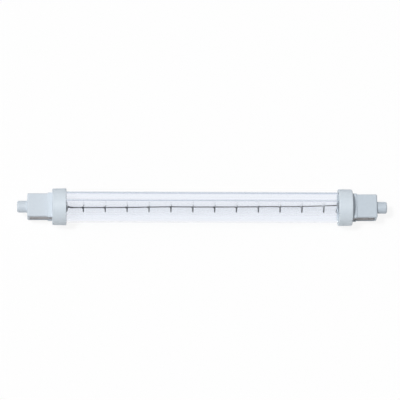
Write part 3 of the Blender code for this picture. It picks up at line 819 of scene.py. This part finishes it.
def support_path(ring_x, turns, tail_side, wire_radius, pitch, lean, twist=0.0):
    """Points along one support: the tail round the filament, the run out to the bore, the ring.

    The ring leans along X by the share lean of its reach along Y. A twist bends it, so that from
    above its upper and lower half cross in a slim figure of eight."""
    tail_radius = (coil_radius + coil_wire_radius) * coil_share(ring_x) + wire_radius
    stations = []
    for step in range(TAIL_STEPS):
        share = step / TAIL_STEPS
        x = ring_x + tail_side * (TAIL_GAP + TAIL_LENGTH * (1 - share))
        stations.append((x, filament_drift(x), tail_radius, TAIL_TURNS * share, 0.0))
    for step in range(RUN_STEPS):
        share = step / RUN_STEPS
        eased = soft_step(share)
        x = ring_x + tail_side * TAIL_GAP * (1 - share)
        radius = tail_radius + (support_ring - tail_radius) * eased
        stations.append((x, filament_drift(x) * (1 - share), radius, TAIL_TURNS + RUN_TURN * share, share))
    steps = round(turns * RING_STEPS)
    for step in range(steps + 1):
        share = step / steps
        stations.append((ring_x - tail_side * pitch * turns * share, 0.0, support_ring,
                         TAIL_TURNS + RUN_TURN + turns * share, 1.0))
    points = []
    for x, y, radius, turn, leaning in stations:
        across = radius * math.cos(math.tau * turn)
        height = radius * math.sin(math.tau * turn)
        bend = lean * across + twist * across * height / support_ring
        points.append(Vector((x + leaning * bend, y + across, height)))
    return points


print("a ring is", round(2 * support_ring / MM, 2), "mm across its wire's middle")

# %% Filament supports
support_wire_radius = 0.19 * MM
support_ring_pitch = 0.3 * MM
support_ring_turns = 1.05
support_ring_lean = 0.08
first_from_end = 8.5 * MM
supports_shift = 0.8 * MM

support_names = sorted(name for name in frame["nodes"] if name.startswith("filament_support"))
support_pitch = 2 * (coil_end - first_from_end) / (len(support_names) - 1)
for number, name in enumerate(support_names):
    ring_x = supports_shift + support_pitch * (number - (len(support_names) - 1) / 2)
    path = support_path(ring_x, support_ring_turns, -1, support_wire_radius, support_ring_pitch,
                        support_ring_lean)
    bm = drawn_wire(path, support_wire_radius)
    finished(bm, "fine_" + name, support_wire, "support_wire", name)

# %% End supports
END_SUPPORT_TURNS = 2.0
END_SUPPORTS = (("left", -1, 80.3 * MM, 0.27 * MM, 0.08, 0.0, 0.13 * MM, support_wire),
                ("right", 1, 80.5 * MM, 0.17 * MM, 0.12, -0.38, 0.08 * MM, bright_wire))
for side, sign, reach, pitch, lean, twist, wire_radius, finish in END_SUPPORTS:
    path = support_path(sign * reach, END_SUPPORT_TURNS, -sign, wire_radius, pitch, lean, twist)
    finished(drawn_wire(path, wire_radius), "fine_end_support_" + side, finish, "support_wire",
             "end_support_" + side)

# %% [markdown]
# An end cap is one piece of pressed and fired steatite: a round collar for the jacket, a narrow
# shoulder, a flat block for the press seal and a round nose for the contact. Each form is made
# and rounded by itself, then they are joined and hollowed: a seat for the jacket with a shallow
# well for the lamp tube, a pocket for the press, a window on each side, and the contact's
# recess with a hole for the lead. The right cap is made in place, and a copy turned half way
# round makes the left one.

# %% Blocks, joints and twins


def block(low, high):
    """A box from its lowest to its highest corner."""
    bm = bmesh.new()
    bmesh.ops.create_cube(bm, size=1.0)
    low, high = Vector(low), Vector(high)
    bmesh.ops.scale(bm, vec=high - low, verts=bm.verts)
    bmesh.ops.translate(bm, vec=(low + high) / 2, verts=bm.verts)
    return bm


def combine(base, *steps):
    """Joins a bmesh to others or cuts it by them, given as (operation, bmesh) pairs in turn."""
    made = loose_object(base, "blank")
    helpers = []
    for operation, tool in steps:
        helper = loose_object(tool, "tool")
        boolean = made.modifiers.new(operation, "BOOLEAN")
        boolean.operation = operation
        boolean.solver = "EXACT"
        boolean.object = helper
        helpers.append(helper)
    return settled(made, helpers)


def half_turned(bm):
    """A copy turned half way round Y, which takes a piece of the right end to the left end."""
    copy = bm.copy()
    bmesh.ops.rotate(copy, cent=(0, 0, 0), matrix=Matrix.Rotation(math.pi, 3, "Y"), verts=copy.verts)
    return copy


def at_both_ends(bm, name, material, slot):
    """The finished right piece, and its half-turned twin on the left."""
    finished(half_turned(bm), "fine_" + name + "_left", material, slot, name + "_left")
    finished(bm, "fine_" + name + "_right", material, slot, name + "_right")


print("both ends share one shape")

# %% End caps: the outer forms
nose_length = 6.0 * MM
block_length = 12.0 * MM
shoulder_length = 2.8 * MM
collar_length = 8.4 * MM
nose_tip = cad_box[1][0]
nose_root = nose_tip - nose_length
block_root = nose_root - block_length
collar_back = block_root - shoulder_length
collar_mouth = collar_back - collar_length
collar_back_radius = 10.82 * MM
collar_mouth_radius = 11.0 * MM
overlap = 1.2 * MM
half_thickness = 5.0 * MM
half_width = 7.1 * MM
rise = 0.4 * MM
collar_edge = 0.6 * MM
shoulder_edge = 0.5 * MM
block_edge = 0.8 * MM
nose_edge = 0.9 * MM
nose_radius = 3.5 * MM
flare = 0.5 * MM

collar = turned([(collar_back, 0), (collar_back, collar_back_radius),
                 (collar_mouth, collar_mouth_radius), (collar_mouth, 0)], steps=192)
round_off(collar, collar_edge)
shoulder = block((collar_back - overlap, -half_width - rise, -half_thickness - rise),
                 (block_root, half_width + rise, half_thickness + rise))
round_off(shoulder, shoulder_edge)
seal_block = block((block_root - overlap, -half_width, -half_thickness),
                   (nose_root, half_width, half_thickness))
round_off(seal_block, block_edge, 6)
nose = turned([(nose_root - overlap, 0), (nose_root - overlap, nose_radius + flare),
               (nose_root, nose_radius + flare), (nose_root, nose_radius), (nose_tip, nose_radius),
               (nose_tip, 0)], steps=96)
round_off(nose, nose_edge, where=lambda co: co.x > nose_tip - MERGE)
round_off(nose, flare * 0.98, where=lambda co: abs(co.x - nose_root) < MERGE
          and math.hypot(co.y, co.z) < nose_radius + MERGE)
print("cap from", round(collar_mouth / MM, 2), "to", round(nose_tip / MM, 2), "mm")

# %% End caps: the hollows
seat_depth = 6.2 * MM
seat_radius = 9.8 * MM
well_depth = 0.6 * MM
well_radius = 5.25 * MM
lead_in = 0.25 * MM
pocket_floor = nose_root - 3.0 * MM
pocket_half_width = 5.7 * MM
pocket_half_height = 1.9 * MM
window_end = nose_root - 1.5 * MM
window_floor = 5.2 * MM
window_half_height = 4.1 * MM
recess_floor = nose_tip - 2.5 * MM
recess_radius = 1.8 * MM
recess_mouth_radius = 2.2 * MM
recess_chamfer = 0.15 * MM
lead_hole_radius = 1.1 * MM

seat_floor = collar_mouth + seat_depth
seat = turned([(seat_floor + well_depth, 0), (seat_floor + well_depth, well_radius),
               (seat_floor, well_radius), (seat_floor, seat_radius), (collar_mouth + lead_in, seat_radius),
               (collar_mouth - lead_in, seat_radius + 2 * lead_in),
               (collar_mouth - overlap, seat_radius + 2 * lead_in), (collar_mouth - overlap, 0)], steps=192)
pocket = block((seat_floor, -pocket_half_width, -pocket_half_height),
               (pocket_floor, pocket_half_width, pocket_half_height))
cuts = [("DIFFERENCE", seat), ("DIFFERENCE", pocket)]
for side in (-1, 1):
    low, high = sorted((side * window_floor, side * (half_width + rise + overlap)))
    window = block((collar_back, low, -window_half_height), (window_end, high, window_half_height))
    cuts.append(("DIFFERENCE", window))
recess = turned([(nose_tip + overlap, 0), (nose_tip + overlap, recess_mouth_radius),
                 (nose_tip + lead_in, recess_mouth_radius), (nose_tip - recess_chamfer, recess_radius),
                 (recess_floor, recess_radius), (recess_floor, lead_hole_radius),
                 (pocket_floor - overlap, lead_hole_radius), (pocket_floor - overlap, 0)], steps=96)
cuts.append(("DIFFERENCE", recess))
cap = combine(collar, ("UNION", shoulder), ("UNION", seal_block), ("UNION", nose), *cuts)
at_both_ends(cap, "end_cap", steatite, "steatite")

# %% [markdown]
# Fine cement bonds the jacket into each collar. It is poured as a ring, and its open face dries
# a little uneven, so the points of that face are pushed in by a slow noise.

# %% Jacket cement
low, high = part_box("jacket_cement_right")
ring_radius = high.z
ring_middle = 9.5 * MM
ring_bore = 9.3 * MM
DRIED_BACK = 0.3 * MM
DRIED_WAVE = 1.5 * MM
bm = turned([(low.x, ring_bore), (low.x, ring_middle), (low.x, ring_radius), (high.x, ring_radius),
             (high.x, ring_bore)], closed=True, steps=192)
for vert in bm.verts:
    if vert.co.x < low.x + MERGE:
        vert.co.x += DRIED_BACK * abs(noise.noise(vert.co / DRIED_WAVE))
at_both_ends(bm, "jacket_cement", jacket_cement, "cement")
print("ring out to", round(ring_radius / MM, 2), "mm")

# %% [markdown]
# Coarser cement fills the block round the flat press and closes both side windows. The window
# faces are struck off with a small trowel, which drags shallow streaks along the block and
# leaves a rough face. The rows of a plug sink together, the more the nearer they are to the
# face, so its walls don't fold over, and a grid fill may leave its faces turned inwards, so they
# are turned out before it is joined. The press and the lead keep their room in the cement.

# %% Seal cement
filler_start, filler_end = 87.7 * MM, 100.9 * MM
filler_half_width, filler_half_height = 5.6 * MM, 1.8 * MM
plug_start, plug_end = 89.3 * MM, 102.4 * MM
plug_floor, plug_face = 5.3 * MM, 6.75 * MM
plug_half_height = 4.0 * MM
PLUG_CUTS = 27
press_room_start, press_room_end = 87.0 * MM, 99.9 * MM
press_room_half_width, press_room_half_height = 5.1 * MM, 1.3 * MM
lead_room_start, lead_room_end = 99.0 * MM, 101.5 * MM
lead_room_radius = 0.45 * MM
DRAG_LENGTH, DRAG_WIDTH, DRAG_DEPTH = 6.0 * MM, 0.8 * MM, 0.09 * MM
LUMP_SIZE, LUMP_DEPTH = 1.4 * MM, 0.06 * MM

filler = block((filler_start, -filler_half_width, -filler_half_height),
               (filler_end, filler_half_width, filler_half_height))
steps = []
for side in (-1, 1):
    near, far = sorted((side * plug_floor, side * plug_face))
    plug = block((plug_start, near, -plug_half_height), (plug_end, far, plug_half_height))
    bmesh.ops.subdivide_edges(plug, edges=plug.edges, cuts=PLUG_CUTS, use_grid_fill=True)
    bmesh.ops.recalc_face_normals(plug, faces=plug.faces)
    for vert in plug.verts:
        drag = noise.noise(Vector((vert.co.x / DRAG_LENGTH, side, vert.co.z / DRAG_WIDTH)))
        lump = noise.noise(vert.co / LUMP_SIZE)
        share = (abs(vert.co.y) - plug_floor) / (plug_face - plug_floor)
        vert.co.y -= side * share * (DRAG_DEPTH * (1 + drag) + LUMP_DEPTH * (1 + lump))
    steps.append(("UNION", plug))
press_room = block((press_room_start, -press_room_half_width, -press_room_half_height),
                   (press_room_end, press_room_half_width, press_room_half_height))
lead_room = turned([(lead_room_start, 0), (lead_room_start, lead_room_radius),
                    (lead_room_end, lead_room_radius), (lead_room_end, 0)], steps=48)
steps += [("DIFFERENCE", press_room), ("DIFFERENCE", lead_room)]
at_both_ends(combine(filler, *steps), "seal_cement", seal_cement, "cement")
print("window plugs from", round(plug_start / MM, 2), "to", round(plug_end / MM, 2), "mm")

# %% [markdown]
# The contact is a pressed nickel button with a rounded face and a stem, which sits at the
# bottom of the recess in the nose. One profile turned about the axis makes both.

# %% Contacts
low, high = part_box("contact_right")
button_thickness = 1.0 * MM
button_radius = 1.5 * MM
stem_radius = 0.8 * MM
button_rounding = 0.3 * MM
button_edge = high.x - button_thickness
bm = turned([(low.x, 0), (low.x, stem_radius), (button_edge, stem_radius), (button_edge, button_radius),
             (high.x, button_radius), (high.x, 0)], steps=64)
round_off(bm, button_rounding, 4, where=lambda co: co.x > high.x - MERGE)
at_both_ends(bm, "contact", nickel, "contact_nickel")

# %% [markdown]
# Molybdenum carries the current through the glass. A round lead runs out of the filament into
# the press. There a foil takes over, so thin that the glass can grip it without cracking, with
# its long edges etched thinner still. A second lead goes on from the foil to the contact.

# %% Leads and foils
INNER_LEAD_RADIUS = 0.17 * MM
OUTER_LEAD_RADIUS = 0.35 * MM
BESIDE_FOIL = 0.15 * MM
STRAIGHT_FROM = 84.0 * MM
BEND_FROM = 81.9 * MM
BEND_STEPS = 12
FOIL_STRIPS = 12
FOIL_THINNED = 0.8

for side, sign in (("left", -1), ("right", 1)):
    low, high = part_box("inner_lead_" + side)
    seal_end = max(abs(low.x), abs(high.x))
    coil_reach = min(abs(low.x), abs(high.x))
    beside_foil = -sign * BESIDE_FOIL
    points = [Vector((sign * seal_end, 0, beside_foil)), Vector((sign * STRAIGHT_FROM, 0, beside_foil))]
    for step in range(BEND_STEPS + 1):
        share = step / BEND_STEPS
        eased = soft_step(share)
        reach = sign * (BEND_FROM + (coil_end - BEND_FROM) * share)
        points.append(Vector((reach, filament_drift(sign * coil_end) * eased, beside_foil * (1 - eased))))
    for step in range(1, 7):
        reach = sign * (coil_end + (coil_reach - coil_end) * step / 6)
        points.append(Vector((reach, filament_drift(reach), 0)))
    finished(drawn_wire(points, INNER_LEAD_RADIUS, 12), "fine_inner_lead_" + side, molybdenum, "molybdenum",
             "inner_lead_" + side)
    low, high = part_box("seal_foil_" + side)
    foil = block(low, high)
    for step in range(1, FOIL_STRIPS):
        slice_through(foil, (0, low.y + (high.y - low.y) * step / FOIL_STRIPS, 0), (0, 1, 0))
    middle = (low.z + high.z) / 2
    for vert in foil.verts:
        vert.co.z = middle + (vert.co.z - middle) * (1 - FOIL_THINNED * (vert.co.y / high.y) ** 4)
    finished(foil, "fine_seal_foil_" + side, molybdenum, "molybdenum", "seal_foil_" + side)
    low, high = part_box("outer_lead_" + side)
    middle = (low.z + high.z) / 2
    finished(drawn_wire([Vector((low.x, 0, middle)), Vector((high.x, 0, middle))], OUTER_LEAD_RADIUS, 20),
             "fine_outer_lead_" + side, molybdenum, "molybdenum", "outer_lead_" + side)

# %% [markdown]
# The colours are meant to come out as they were written, so the view transform is the plain one.

# %% View transform
scene.view_settings.view_transform = "Standard"
print("shown with the", scene.view_settings.view_transform, "view transform")
